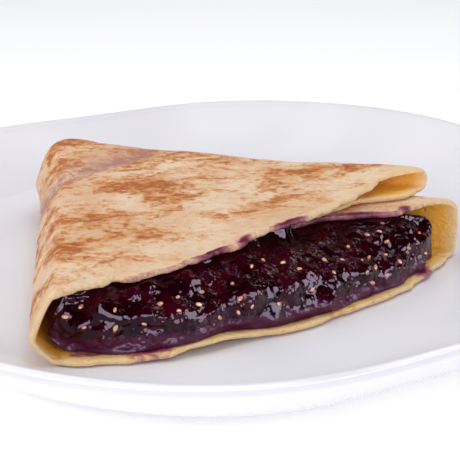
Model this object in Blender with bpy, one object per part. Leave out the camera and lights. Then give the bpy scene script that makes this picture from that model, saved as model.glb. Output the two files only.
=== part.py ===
"""A folded crepe with dark berry jam on a white plate.

+Z is up, and the origin lies on the table under the middle of the plate. Sizes are in millimetres, and each
mesh is scaled to metres when it is made. The crepe is drawn in a frame of its own: its zero point is where
the two straight folded edges of the wedge would meet, and angles are in degrees, anticlockwise from +X.
"""
import math

import bmesh
import bpy
import numpy as np

MM = 0.001

# Plate
PLATE_RADIUS = 112.8  # mean radius of the rim
PLATE_CORNERS = 0.046  # share of the radius by which the four soft corners stand out
PLATE_FLATS = 0.008  # share of the radius that straightens the sides between them
PLATE_TURN = 0.508  # radians by which the corners are turned
PLATE_HEIGHT = 20.0
WELL_TOP = 5.0  # height of the flat eating surface
WELL_EDGE = 0.735  # where the well starts to rise, as a share of the rim's radius
WELL_RISE_POWER = 1.8
WELL_UNDERSIDE = 1.4
FOOT_OUTSIDE = 0.765
FOOT_INSIDE = 0.735
PLATE_SIDES = 48

# Crepe: the folded sheet
TIP = (-60.9, 38.0)  # where the folded edges would meet, on the plate
SHEET = 1.5  # thickness of the pancake
GAP = 0.3  # clearance between layers and between pieces
LEFT = -83.3  # heading of the left fold, from the tip to the front
RIGHT_LOW = -19.2  # heading of the lower right fold
RIGHT_UP = -19.0  # heading of the upper right fold
CORNER_START = 18.0  # how far from the tip the rounded corner meets the right edge
FOLD_HEADING = -41.0  # heading of the hidden inner fold's front end
FOLD_REACH = 99.5  # distance of that front end from the tip
FILLING_CORNER = (22.0, -19.0)  # rear right corner of the hollow that holds the jam
LEFT_FOLD = (25.0, 117.0)  # where the left fold starts and ends, from the tip
LEFT_FOLD_RADIUS = (9.0, 6.0)  # at its start and at its end
UPPER_FOLD_RADIUS = 3.3
LOWER_FOLD_RADIUS = 7.0
BOTTOM_FOLD_RADIUS = (6.0, 3.5)  # at the left and at the right
ROUND = 2.0  # power of a fold's curve: 2 is a circle, 1 would be a straight bevel, and more is squarer
CREASED = 1.2
SQUARE = 3.0
TOP_AT_TIP = 21.2  # height of the top layer over the tip
TOP_SLOPE = (0.029, 0.048)
LEFT_FOLD_HEIGHT = (9.5, 5.5)  # middle of the left fold, at the corner and at the front
CORNER_RUN = 15.0  # length over which the right fold's height leaves the corner's
LOBE = (4.5, 6.0)  # how far the corner swells to the left and to the back
LOBE_PLACE = (8.0, -6.0)
LOBE_WIDTH = 10.0
CREASE_HEADING = -51.0  # soft crease across the corner: its normal, its distance from the tip and its depth
CREASE_REACH = 34.0
CREASE_DEPTH = 1.5
CREASE_WIDTH = 4.5
PINCH = 0.9  # how far the left fold is drawn in where the crease meets it
PINCH_PLACE = -40.0
BACK_BOW = 1.6  # outward bow of the right fold
POCKET = (0.8, 3.1)  # opening between the two upper layers, at the tip and at the front
FLARE = 1.7  # how far the upper roll's front right end stands up
LIP_ROUND = 0.5  # how far the middle of a lip stands out
LIP_LIFT = 1.6  # how far the bottom layer's lip rises off the plate, and around which heading
LIFT_HEADING = -63.0
# Distance of each lip from the tip, at even steps from the left fold to the right one
BOTTOM_LIP = (117.0, 119.1, 121.2, 119.8, 122.7, 123.6, 126.2, 127.2, 129.0)
TOP_LIP = (117.0, 113.0, 110.4, 109.7, 109.4, 107.9, 106.2, 105.0, 104.1, 104.3, 105.0, 105.7, 106.6, 107.6,
           108.8, 110.6, 119.5)
# The same for the two middle layers, from the inner fold to the right fold
UNDER_LIP = (FOLD_REACH, 103.0, 110.5, 117.3, 120.2, 129.0)
OVER_LIP = (FOLD_REACH, 103.5, 105.3, 108.0, 115.5, 119.5)

# Jam and seeds
JAM_BACK = 1.4  # how far the jam's upper edge stays behind the lips
FOOT_BACK = 0.5  # and its foot
JAM_SIDE = 2.6  # free space between the jam and the folds at its sides
JAM_TURN = 3.0  # degrees by which its right side turns away from the right fold
JAM_START = 4.4  # how far its left end stays behind the lips
JAM_END = 4.5  # how far the jam's right end stays inside the lower fold
SEAM_FOOT = 0.036  # share of the foot that lies in front of the hidden fold's end
SEAM_SHARES = np.array([[0.25], [0.5], [0.75]])
SEAM_TURN = 13.0  # degrees over which the jam sinks towards the end of the hidden fold
JAM_DROP = 1.5  # how much lower the jam stays close behind a lip
FOOT_WAVE = 1.3  # how much further its foot draws back between its lobes
SEEDS = 44
SEED_SIZE = (0.85, 0.55, 0.42)  # half length, half width and half thickness
SEEDS_APART = 4.2
SEED_DRAW = 11

# Lanes run from the rounded corner to the front lip, close together along the folds
LANES = (0, 0.008, 0.022, 0.042, 0.07, 0.105, 0.15, 0.21, 0.28, 0.36, 0.44, 0.52, 0.6, 0.68, 0.76, 0.83,
         0.88, 0.92, 0.945, 0.965, 0.98, 0.992, 1)
FOLD_LANES = (0, 0.02, 0.06, 0.14, 0.28, 0.44, 0.6, 0.74, 0.85, 0.92, 0.965, 0.99, 1)
FRONT_RISES = (0.09, 0.19, 0.3, 0.41, 0.52, 0.63, 0.73, 0.81, 0.87, 0.92, 0.965)
ROWS = (0, 0.003, 0.01, 0.022, 0.04, 0.065, 0.1, 0.15, 0.22, 0.3, 0.4, 0.5, 0.6, 0.7, 0.8, 0.88, 0.94,
        0.975, 1)


def unit(degrees):
    """Direction of a heading in plan."""
    return np.array([math.cos(math.radians(degrees)), math.sin(math.radians(degrees))])


def smooth(x):
    """Soft step from 0 to 1."""
    x = np.clip(x, 0, 1)
    return x * x * (3 - 2 * x)


def along(values, share):
    """Smooth curve through values set at even steps, read at a share of its length."""
    values = np.asarray(values, float)
    place = np.clip(share, 0, 1) * (len(values) - 1)
    i = np.minimum(place.astype(int), len(values) - 2)
    t = place - i
    slope = np.gradient(values)
    h00 = 2 * t**3 - 3 * t**2 + 1
    h10 = t**3 - 2 * t**2 + t
    h01 = 3 * t**2 - 2 * t**3
    h11 = t**3 - t**2
    return h00 * values[i] + h10 * slope[i] + h01 * values[i + 1] + h11 * slope[i + 1]


def plate_reach(angle):
    """Distance of the plate's rim from its middle."""
    corners = PLATE_CORNERS * np.cos(4 * (angle - PLATE_TURN))
    flats = PLATE_FLATS * np.cos(8 * (angle - PLATE_TURN))
    return PLATE_RADIUS * (1 - corners - flats)


def plate_rise(share):
    """Height of the plate's upper face, at a share of the rim's distance."""
    climb = np.clip((share - WELL_EDGE) / (1 - WELL_EDGE), 0, 1)
    return WELL_TOP + (PLATE_HEIGHT - WELL_TOP) * climb**WELL_RISE_POWER


def plate_top(x, y):
    return plate_rise(np.hypot(x, y) / plate_reach(np.arctan2(y, x)))


def down_left_fold(p, values):
    """A size of the left fold, between its values at the fold's start and at its front end."""
    start, end = LEFT_FOLD
    share = np.clip((p @ unit(LEFT) - start) / (end - start), 0, 1)
    return values[0] + (values[1] - values[0]) * share


# Frame of the wedge: the left edge's inward normal, and the rounded corner between the edges
LEFT_IN = unit(LEFT + 90)


class Wedge:
    """Outline of one surface of the folded sheet: set in at its sides, and cut in from above and below."""

    def __init__(self, inset, cut, corner, sink=0.0, turn=0.0):
        self.inset = inset
        self.cut = cut
        self.sink = sink
        self.corner = np.array(corner, float)
        self.ends = {"low": self.end(RIGHT_LOW - turn, BOTTOM_LIP[-1]),
                     "up": self.end(RIGHT_UP - turn, TOP_LIP[-1])}
        low = self.heading("low")
        up = self.heading("up")
        self.right = (low + up) / 2
        inward = unit(self.right - 90)
        reach = self.corner @ LEFT_IN - inset
        self.radius = reach / (1 - inward @ LEFT_IN)
        self.centre = self.corner + inward * self.radius

    def end(self, heading, reach):
        return unit(heading) * reach - unit(heading + 90) * self.inset

    def heading(self, roll):
        way = self.ends[roll] - self.corner
        return math.degrees(math.atan2(way[1], way[0]))

    def start(self, lane):
        """Points of the rounded corner, from the left edge to the right one."""
        first = LEFT + 270
        turn = first - (self.right + 90)
        angle = np.radians(first - np.asarray(lane, float) * turn)
        return self.centre + self.radius * np.stack([np.cos(angle), np.sin(angle)], -1)

    def distances(self, p, roll):
        """Distance to the left edge, to the right edge and to the whole outline."""
        way = unit(self.heading(roll))
        left = p @ LEFT_IN - self.inset
        right = (p - self.corner) @ np.array([way[1], -way[0]])
        from_centre = p - self.centre
        in_corner = (from_centre @ unit(LEFT) < 0) & (from_centre @ way < 0)
        rounded = self.radius - np.hypot(from_centre[..., 0], from_centre[..., 1])
        nearest = np.where(in_corner, rounded, np.minimum(left, right))
        return np.maximum(left, 0), np.maximum(right, 0), np.maximum(nearest, 0)

    def middle(self, p, roll):
        """Height of the fold that bounds this surface, and how far over to the right side a point is."""
        left, right, _ = self.distances(p, roll)
        over = left / (left + right + 1e-9)
        left_fold = down_left_fold(p, LEFT_FOLD_HEIGHT)
        corner = split_level(self.corner[None, :])[0] - self.sink
        if roll == "low":
            fold = split_level(p) * 0.48
        else:
            fold = (top_level(p) + split_level(p) + GAP / 2) / 2
        run = smooth((p - self.corner) @ unit(self.heading(roll)) / CORNER_RUN)
        right_fold = corner + (fold - corner) * run
        return left_fold * (1 - over) + right_fold * over, over


OUTER = Wedge(0.0, 0.0, unit((RIGHT_LOW + RIGHT_UP) / 2) * CORNER_START)
INNER = Wedge(SHEET, SHEET, FILLING_CORNER)
FILLING = Wedge(SHEET + JAM_SIDE, SHEET + GAP, np.array(FILLING_CORNER) + unit(-105) * 3.5, 3.5, JAM_TURN)

FOLD_END = unit(FOLD_HEADING) * FOLD_REACH
FOLD_WAY = (FOLD_END - OUTER.corner) / np.linalg.norm(FOLD_END - OUTER.corner)
FOLD_SIDE = np.array([-FOLD_WAY[1], FOLD_WAY[0]])


def flare(p):
    """Rise of the upper roll's open end, at the front of its right fold."""
    heading = np.degrees(np.arctan2(p[..., 1], p[..., 0]))
    reach = np.hypot(p[..., 0], p[..., 1])
    return FLARE * smooth((heading + 33) / 12) * smooth((reach - 80) / 35)


def top_level(p):
    """Upper face of the top layer, away from the folds, with its soft hollows."""
    x, y = p[..., 0], p[..., 1]
    from_tip = np.hypot(x, y)
    level = TOP_AT_TIP + TOP_SLOPE[0] * x + TOP_SLOPE[1] * y
    inside = OUTER.distances(p, "up")[2]
    across = p @ unit(CREASE_HEADING) - CREASE_REACH
    dent = CREASE_DEPTH * np.exp(-((across / CREASE_WIDTH) ** 2)) * smooth((55 - x) / 25) * smooth(inside / 5)
    ripple = 0.35 * np.sin(x / 7.5 + y / 17) * np.sin(y / 9.5 + 0.6) * smooth((from_tip - 40) / 30)
    return level - dent + ripple + flare(p)


def pocket(p):
    """Opening between the two upper layers."""
    beside = smooth((p - OUTER.corner) @ FOLD_SIDE / 60)
    forward = smooth((np.hypot(p[..., 0], p[..., 1]) - 35) / 80)
    return POCKET[0] + (POCKET[1] - POCKET[0]) * beside * forward + flare(p)


def split_level(p):
    """Middle of the slit between the lower roll and the upper one."""
    return top_level(p) - 2 * SHEET - pocket(p) - GAP / 2


def round_over(distance, radius, power):
    """Share of the height that a rounded fold has reached at a distance from its edge."""
    return (1 - (1 - np.clip(distance / radius, 0, 1)) ** power) ** (1 / power)


def height(p, wedge, layer):
    """Height of one face of one layer."""
    roll = "low" if layer in ("bottom", "under") else "up"
    inside = wedge.distances(p, roll)[2]
    middle, over = wedge.middle(p, roll)
    cut = wedge.cut
    power = CREASED + (ROUND - CREASED) * over
    if layer == "bottom":
        left, right = BOTTOM_FOLD_RADIUS
        radius = left + (right - left) * over - cut
        return middle + (cut - middle) * round_over(inside, np.maximum(radius, 1.0), power)
    if layer == "top":
        left = down_left_fold(p, LEFT_FOLD_RADIUS)
        radius = left + (UPPER_FOLD_RADIUS - left) * over - cut
        return middle + (top_level(p) - cut - middle) * round_over(inside, np.maximum(radius, 1.0), power)
    if layer == "under":
        level = split_level(p) - GAP / 2 - cut
        return middle + (level - middle) * round_over(inside, LOWER_FOLD_RADIUS - cut, SQUARE)
    level = split_level(p) + GAP / 2 + cut
    return middle + (level - middle) * round_over(inside, max(UPPER_FOLD_RADIUS - cut, 1.0), ROUND)


def lip_point(lane, lip, first, last, back=0.0):
    """Points along a front lip, or a distance behind it."""
    lane = np.asarray(lane, float)
    angle = np.radians(first + (last - first) * lane)
    reach = along(lip, lane) - back
    way = np.stack([np.cos(angle), np.sin(angle)], -1)
    return way * reach[:, None]


def spread(start, end, rows):
    """Straight lanes from the start points to the end points: rows of points."""
    rows = np.asarray(rows, float)[:, None, None]
    return start[None] * (1 - rows) + end[None] * rows


def layer_points(wedge, layer, lanes, rows):
    """Points of one face of one layer, in rows from the corner to the front lip."""
    lanes = np.asarray(lanes, float)
    shift = wedge.inset
    lips = {"bottom": (BOTTOM_LIP, LEFT, RIGHT_LOW), "top": (TOP_LIP, LEFT, RIGHT_UP),
            "under": (UNDER_LIP, FOLD_HEADING, RIGHT_LOW), "over": (OVER_LIP, FOLD_HEADING, RIGHT_UP)}
    lip, first, last = lips[layer]
    end = lip_point(lanes, lip, first, last)
    end = end - unit(last + 90) * shift * (lanes**3)[:, None]
    if layer in ("bottom", "top"):
        end = end + LEFT_IN * shift * ((1 - lanes) ** 3)[:, None]
        start = wedge.start(lanes)
    else:
        start = np.repeat(wedge.corner[None], len(lanes), 0)
    plan = spread(start, end, rows)
    z = height(plan, wedge, layer)
    z[0] = wedge.middle(plan[0], "up")[0]
    if wedge is OUTER and layer in ("under", "over"):
        other = height(plan, wedge, "over" if layer == "under" else "under")
        open_share = smooth((plan - OUTER.corner) @ FOLD_SIDE / 2.5)
        z = (z + other) / 2 * (1 - open_share) + z * open_share
    return np.concatenate([plan, z[..., None]], -1)


def hairpin(under, over, steps):
    """Rounded inside of the hidden fold, between its lower and its upper face."""
    centre = (under + over) / 2
    radius = (over[:, 2] - under[:, 2]) / 2
    columns = []
    for step in range(1, steps):
        angle = math.pi * step / steps
        point = centre.copy()
        point[:, :2] -= FOLD_SIDE * (radius * math.sin(angle))[:, None]
        point[:, 2] -= radius * math.cos(angle)
        columns.append(point)
    return np.stack(columns, 1)


def settle(p):
    """Bends food from the flat wedge into its place: fuller corner, lifted lip, and the plate's slope."""
    x, y, z = p[..., 0], p[..., 1], p[..., 2]
    bow = BACK_BOW * np.sin(math.pi * np.clip(x / 112, 0, 1)) * np.exp(-np.abs(x * 0.34 + y) / 25)
    lobe = np.exp(-((x - LOBE_PLACE[0]) ** 2 + (y - LOBE_PLACE[1]) ** 2) / (2 * LOBE_WIDTH**2))
    pinch = PINCH * np.exp(-(((y - PINCH_PLACE) / 6) ** 2)) * np.exp(-np.clip(x, 0, None) / 12)
    x = x - LOBE[0] * lobe + pinch
    y = y + LOBE[1] * lobe + bow
    z = z * (1 + 0.06 * lobe)
    reach = np.hypot(x, y)
    heading = np.degrees(np.arctan2(y, x))
    lift = LIP_LIFT * np.exp(-(((heading - LIFT_HEADING) / 5.0) ** 2)) * smooth((reach - 100) / 20)
    z = z + lift * np.clip(1 - z / 9, 0, 1)
    x = x + TIP[0]
    y = y + TIP[1]
    return np.stack([x, y, z + plate_top(x, y) + GAP], -1)


def new_mesh_object(name, points, faces, material):
    """Closed mesh object from points in millimetres, with near points made one."""
    mesh = bmesh.new()
    verts = [mesh.verts.new(tuple(point)) for point in np.asarray(points) * MM]
    for face in faces:
        mesh.faces.new([verts[i] for i in face])
    bmesh.ops.remove_doubles(mesh, verts=mesh.verts, dist=2e-7)
    bmesh.ops.dissolve_degenerate(mesh, edges=mesh.edges, dist=1e-7)
    bmesh.ops.triangulate(mesh, faces=mesh.faces)
    bmesh.ops.recalc_face_normals(mesh, faces=mesh.faces)
    data = bpy.data.meshes.new(name)
    mesh.to_mesh(data)
    mesh.free()
    data.materials.append(material)
    data.shade_smooth()
    data.set_sharp_from_angle(angle=math.radians(50))
    made = bpy.data.objects.new(name, data)
    bpy.context.scene.collection.objects.link(made)
    return made


def grid_faces(rows, columns, first):
    """Quads of a grid whose points were added row by row from index first."""
    faces = []
    for r in range(rows - 1):
        for c in range(columns - 1):
            a = first + r * columns + c
            faces.append((a, a + 1, a + columns + 1, a + columns))
    return faces


def stack_grids(grids):
    """Points and quads of several grids, each an array of rows by columns by 3."""
    points = []
    faces = []
    for grid in grids:
        faces += grid_faces(grid.shape[0], grid.shape[1], len(points))
        points += list(grid.reshape(-1, 3))
    return points, faces


def plain_material(name, colour, roughness):
    material = bpy.data.materials.new(name)
    material.use_nodes = True
    shader = material.node_tree.nodes["Principled BSDF"]
    shader.inputs["Base Color"].default_value = (*colour, 1)
    shader.inputs["Roughness"].default_value = roughness
    shader.inputs["Metallic"].default_value = 0.0
    return material


def plate_profile():
    """Half section of the plate from the middle of the well, over the rim and under to the middle again."""
    section = [(0.0, WELL_TOP), (0.5, WELL_TOP)]
    for share in (0.735, 0.765, 0.795, 0.83, 0.87, 0.915, 0.955, 0.98):
        section.append((share, float(plate_rise(share))))
    section += [(0.99, PLATE_HEIGHT), (0.998, 19.4), (1.0, 18.4)]
    for share in (0.97, 0.92, 0.87, 0.82):
        section.append((share, 0.6 + 17.8 * ((share - 0.77) / 0.23) ** 1.6))
    section += [(0.78, 0.9), (FOOT_OUTSIDE, 0.0), (FOOT_INSIDE, 0.0), (0.72, WELL_UNDERSIDE)]
    section.append((0.0, WELL_UNDERSIDE))
    return section


def make_plate():
    section = plate_profile()
    columns = []
    for i in range(PLATE_SIDES + 1):
        angle = 2 * math.pi * (i % PLATE_SIDES) / PLATE_SIDES
        reach = plate_reach(angle)
        way = (math.cos(angle), math.sin(angle))
        columns.append([(way[0] * reach * share, way[1] * reach * share, z) for share, z in section])
    points, faces = stack_grids([np.array(columns)])
    return new_mesh_object("plate", points, faces, plain_material("plate", (0.9, 0.9, 0.92), 0.15))


def sheet_loop(wedge, fold_steps):
    """One whole face of the folded sheet, as columns round the fold: bottom, under, over and top layers."""
    bottom = layer_points(wedge, "bottom", LANES, ROWS)
    top = layer_points(wedge, "top", LANES, ROWS)
    under = layer_points(wedge, "under", FOLD_LANES, ROWS)
    over = layer_points(wedge, "over", FOLD_LANES, ROWS)
    parts = [bottom, under[:, ::-1]]
    if fold_steps:
        parts.append(hairpin(under[:, 0], over[:, 0], fold_steps))
    parts += [over, top[:, ::-1]]
    return parts


def make_crepe():
    """The pancake: outer face, inner face and the rounded lip between them."""
    steps = 6
    outer = sheet_loop(OUTER, 0)
    inner = sheet_loop(INNER, steps)
    outer_all = np.concatenate(outer, 1)
    inner_all = np.concatenate(inner, 1)
    fold = outer[1][:, -1:]
    matched = np.concatenate([outer[0], outer[1]] + [fold] * (steps - 1) + outer[2:], 1)
    lip_out = settle(matched[-1])
    lip_in = settle(inner_all[-1])
    outwards = matched[-1, :, :2] / np.linalg.norm(matched[-1, :, :2], axis=1)[:, None]
    lip_mid = (lip_out + lip_in) / 2
    lip_mid[:, :2] += outwards * LIP_ROUND
    rim = np.stack([lip_out, lip_mid, lip_in])
    points, faces = stack_grids([settle(outer_all), settle(inner_all), rim])
    return new_mesh_object("crepe", points, faces, plain_material("crepe", (0.85, 0.62, 0.34), 0.6))


def jam_edges(rows):
    """Lower and upper lanes of the filling, matched column by column."""
    lanes = np.array([0, 0.015, 0.045, 0.09, 0.16, 0.25, 0.35, 0.46, 0.57, 0.68, 0.78, 0.87, 0.94, 1])
    side_lanes = np.array([0, 0.04, 0.12, 0.22, 0.33, 0.45, 0.57, 0.69, 0.8, 0.89, 0.95, 0.985, 1])
    split = (FOLD_HEADING - LEFT) / (RIGHT_LOW - LEFT)
    share = (FOLD_HEADING - LEFT) / (RIGHT_UP - LEFT)
    way = FILLING.ends["low"] - FILLING.corner
    right_end = FILLING.ends["low"] - way * (JAM_END / np.linalg.norm(way))
    wave = FOOT_WAVE * np.sin(13 * lanes + 0.4) ** 2 * smooth(lanes / 0.1)
    side_wave = FOOT_WAVE * np.sin(13.4 + 9 * side_lanes) ** 2
    start = (1 - lanes) ** 6
    foot_back = FOOT_BACK + (JAM_START - FOOT_BACK) * start + wave
    top_back = JAM_BACK + (JAM_START - JAM_BACK) * start
    left_places = lanes * (split - SEAM_FOOT)
    right_places = split + side_lanes * (1 - split)
    foot_left = lip_point(left_places, BOTTOM_LIP, LEFT, RIGHT_LOW, foot_back)
    foot_right = lip_point(right_places, BOTTOM_LIP, LEFT, RIGHT_LOW, FOOT_BACK + side_wave)
    top_left = lip_point(lanes * share, TOP_LIP, LEFT, RIGHT_UP, top_back)
    top_right = lip_point(side_lanes, UNDER_LIP, FOLD_HEADING, RIGHT_LOW, JAM_BACK)
    top_left += (top_right[0] - top_left[-1]) * (lanes**3)[:, None]
    for edge in (foot_left, top_left):
        edge += LEFT_IN * FILLING.inset * ((1 - lanes) ** 3)[:, None]
    for edge, power in ((foot_right, 3), (top_right, 2)):
        edge += (right_end - edge[-1]) * (side_lanes**power)[:, None]

    rear = FILLING.start(lanes)
    corner = np.repeat(FILLING.corner[None], len(side_lanes), 0)
    low_left = spread(rear, foot_left, rows)
    low_right = spread(corner, foot_right, rows)
    low_seam = spread(corner[:3], foot_left[-1] + (foot_right[0] - foot_left[-1]) * SEAM_SHARES, rows)
    up_left = spread(rear, top_left, rows)
    up_right = spread(corner, top_right, rows)

    seam = up_right[:, 0]
    seam_under = height(seam, INNER, "under")
    seam_over = height(seam, INNER, "over")
    radius = (seam_over - seam_under) / 2 + GAP
    radius[0] = 0
    up_left = up_left - FOLD_SIDE * (radius[:, None] * lanes[None, :] ** 3)[..., None]
    low = [with_height(low_left, "bottom"), with_height(low_seam, "bottom")]
    high = [with_height(up_left, "top")]
    for step in (3, 2, 1):
        angle = math.pi / 2 * step / 3
        plan = seam - FOLD_SIDE * (radius * math.sin(angle))[:, None]
        level = (seam_under + seam_over) / 2 - radius * math.cos(angle)
        level[0] = FILLING.middle(seam[:1], "up")[0][0]
        high.append(np.concatenate([plan, level[:, None]], -1)[:, None])
    low.append(with_height(low_right, "bottom"))
    high.append(with_height(up_right, "under"))
    return np.concatenate(low, 1), np.concatenate(high, 1)


def with_height(plan, layer):
    z = height(plan, FILLING, layer)
    z[0] = FILLING.middle(plan[0], "up")[0]
    return np.concatenate([plan, z[..., None]], -1)


def jam_front(foot, edge, rises):
    """Swelling front of the filling, in rows from its foot up to the lip of the pancake."""
    rows = []
    reach = np.linalg.norm(foot[:, :2], axis=1)
    heading = np.degrees(np.arctan2(foot[:, 1], foot[:, 0]))
    outwards = foot[:, :2] / reach[:, None]
    ends = smooth(np.linalg.norm((edge - foot)[:, :2], axis=1) / 6)
    seam = np.exp(-(((heading - FOLD_HEADING) / SEAM_TURN) ** 2)) * ends
    lowest = edge[np.argmin(np.abs(heading - FOLD_HEADING)), 2]
    sunk = edge.copy()
    sunk[:, 2] += (lowest - edge[:, 2]) * seam
    for rise in rises:
        turn = rise * math.pi / 2
        lip = sunk + (edge - sunk) * smooth((rise - 0.9) / 0.08)
        point = foot.copy()
        point[:, :2] = lip[:, :2] + (foot[:, :2] - lip[:, :2]) * math.cos(turn) ** 0.8
        point[:, 2] = foot[:, 2] + (lip[:, 2] - foot[:, 2]) * math.sin(turn) ** 0.9
        swell = math.sin(rise * math.pi)
        lobes = 0.9 * np.sin(heading / 2.3 + 2.5 * rise) + 0.5 * np.sin(heading / 1.1 - 3 * rise)
        groove = -1.1 * math.exp(-(((rise - 0.62) / 0.13) ** 2))
        bulge = 0.9 * math.exp(-(((rise - 0.3) / 0.2) ** 2))
        push = swell * (lobes * 0.6 + bulge + groove) * ends
        point[:, :2] += outwards * push[:, None]
        drop = JAM_DROP * math.sqrt(1 - rise) * smooth((rise - 0.6) / 0.2)
        point[:, 2] += push * 0.25 - drop * ends
        rows.append(point)
    return np.stack(rows)


def seed_mesh(name, place, turn, tilt, scale):
    """One small oval seed."""
    mesh = bmesh.new()
    bmesh.ops.create_uvsphere(mesh, u_segments=5, v_segments=4, radius=MM)
    for vert in mesh.verts:
        vert.co.x *= SEED_SIZE[0] * scale
        vert.co.y *= SEED_SIZE[1] * scale
        vert.co.z *= SEED_SIZE[2] * scale
    data = bpy.data.meshes.new(name)
    mesh.to_mesh(data)
    mesh.free()
    made = bpy.data.objects.new(name, data)
    made.location = place * MM
    made.rotation_euler = (tilt, turn, 0.7 * turn)
    return made


def scatter(front, count):
    """Spots spread evenly over the jam's front, by a seeded draw that keeps them apart."""
    draw = np.random.default_rng(SEED_DRAW)
    rows, columns = front.shape[:2]
    spots = []
    tries = 0
    while len(spots) < count and tries < 4000:
        tries += 1
        r = draw.uniform(1.2, rows - 3.2)
        c = draw.uniform(2.5, columns - 3.5)
        i, j = int(r), int(c)
        a, b = r - i, c - j
        low = front[i, j] * (1 - b) + front[i, j + 1] * b
        high = front[i + 1, j] * (1 - b) + front[i + 1, j + 1] * b
        spot = low * (1 - a) + high * a
        if all(np.linalg.norm(spot - other) > SEEDS_APART for other in spots):
            spots.append(spot)
    return draw, spots


def keep_largest(data):
    """Removes what a union has left loose."""
    mesh = bmesh.new()
    mesh.from_mesh(data)
    left = set(mesh.verts)
    bodies = []
    while left:
        body = set()
        edge = [left.pop()]
        while edge:
            vert = edge.pop()
            body.add(vert)
            near = {e.other_vert(vert) for e in vert.link_edges} & left
            left -= near
            edge += list(near)
        bodies.append(body)
    bodies.sort(key=len)
    loose = [vert for body in bodies[:-1] for vert in body]
    bmesh.ops.delete(mesh, geom=loose, context="VERTS")
    bmesh.ops.triangulate(mesh, faces=mesh.faces)
    mesh.to_mesh(data)
    mesh.free()


def fuse_seeds(jam, front):
    """Seeds half sunk in the jam, joined to it with one union."""
    collection = bpy.data.collections.new("seeds")
    bpy.context.scene.collection.children.link(collection)
    draw, spots = scatter(front, SEEDS)
    for number, spot in enumerate(spots):
        seed = seed_mesh(f"seed_{number}", spot, draw.uniform(-1.5, 1.5), draw.uniform(0.2, 1.0),
                         draw.uniform(0.85, 1.15))
        collection.objects.link(seed)
    union = jam.modifiers.new("seeds", "BOOLEAN")
    union.operation = "UNION"
    union.operand_type = "COLLECTION"
    union.collection = collection
    union.solver = "EXACT"
    graph = bpy.context.evaluated_depsgraph_get()
    fused = bpy.data.meshes.new_from_object(jam.evaluated_get(graph))
    jam.modifiers.remove(union)
    keep_largest(fused)
    jam.data = fused
    for seed in list(collection.objects):
        bpy.data.objects.remove(seed)
    bpy.data.collections.remove(collection)


def make_jam():
    """The filling: lower and upper faces inside the pancake, and the swelling front with its seeds."""
    rows = (0, 0.02, 0.06, 0.12, 0.2, 0.32, 0.46, 0.6, 0.74, 0.87, 1)
    low, high = jam_edges(rows)
    front = jam_front(low[-1], high[-1], FRONT_RISES)
    whole = np.concatenate([low, front, high[::-1]])
    settled = settle(whole)
    points, faces = stack_grids([settled])
    jam = new_mesh_object("jam", points, faces, plain_material("jam", (0.05, 0.006, 0.02), 0.12))
    fuse_seeds(jam, settled[len(low) - 1:len(low) + len(front) + 1])
    return jam


def main():
    for old in list(bpy.data.objects):
        bpy.data.objects.remove(old)
    make_plate()
    make_crepe()
    make_jam()


main()
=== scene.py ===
"""A folded crepe with dark berry jam on a white plate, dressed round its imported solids.

The sections follow the dish as it is put together: plate, crepe, jam, seeds, then the table and the light.
Sizes are in millimetres and every mesh is scaled to metres when it is made. The crepe and the jam are drawn
in a frame whose zero point is where the two straight folded edges of the wedge would meet.
"""
import math

import bmesh
import bpy
import numpy as np
from mathutils import Euler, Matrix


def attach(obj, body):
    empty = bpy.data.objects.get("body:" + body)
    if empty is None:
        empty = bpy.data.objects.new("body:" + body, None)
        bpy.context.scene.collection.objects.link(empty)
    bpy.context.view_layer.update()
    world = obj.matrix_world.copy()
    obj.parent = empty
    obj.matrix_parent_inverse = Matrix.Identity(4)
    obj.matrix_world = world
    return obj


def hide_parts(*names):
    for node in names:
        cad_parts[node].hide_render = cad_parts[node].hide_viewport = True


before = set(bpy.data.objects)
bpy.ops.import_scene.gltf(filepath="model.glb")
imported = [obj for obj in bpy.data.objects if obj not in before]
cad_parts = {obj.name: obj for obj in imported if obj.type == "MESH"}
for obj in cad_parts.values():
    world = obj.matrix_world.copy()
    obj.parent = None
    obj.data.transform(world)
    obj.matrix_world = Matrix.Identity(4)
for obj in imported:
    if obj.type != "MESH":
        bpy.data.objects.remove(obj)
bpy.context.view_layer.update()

# Plate. White glazed porcelain pressed in a mould: a flat well, and a rim that climbs to four soft corners.
# The glaze is glossy and very slightly uneven, and the foot ring that it stands on is left bare.

MM = 0.001
# In metres: points nearer than the first are joined, and edges shorter than the second are dropped
SAME_POINT = 1e-7
NO_LENGTH = 1e-8
# Outline: the corners and the flats between them are shares of the radius, and the turn is in radians
PLATE_RADIUS = 112.8
PLATE_CORNERS = 0.046
PLATE_FLATS = 0.008
PLATE_TURN = 0.508
PLATE_HEIGHT = 20.0
PLATE_SIDES = 192
WELL_TOP = 5.0
WELL_UNDERSIDE = 1.4
# The plate's section from its middle out: places are shares of the distance to the rim, heights are sizes
WELL_RINGS = (0.0, 0.02, 0.2, 0.4, 0.6, 0.7)
WELL_EDGE = 0.735
WELL_RISE_POWER = 1.8
RIM_INNER = 0.985
RIM_RINGS = 34
RIM_ROUND = (0.009, 0.9)
RIM_ROUND_STEPS = 8
BACK_SPAN = (0.975, 0.80)
BACK_RINGS = 16
BACK_FOOT = 0.77
BACK_LOW = 0.6
BACK_CLIMB = 17.6
BACK_POWER = 1.6
FOOT_RING = ((0.785, 0.95), (0.772, 0.6), (0.766, 0.12), (0.762, 0.0), (0.738, 0.0), (0.734, 0.12),
             (0.728, 0.9))
UNDERSIDE_RINGS = (0.715, 0.5, 0.02, 0.0)
BARE_LEVEL = (0.15, 0.7)
CLOUD_SIZE = 38.0
WAVE_SIZE = 26.0
RIPPLE_SIZE = 9.0
GLAZE_RELIEF = 0.02


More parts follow.
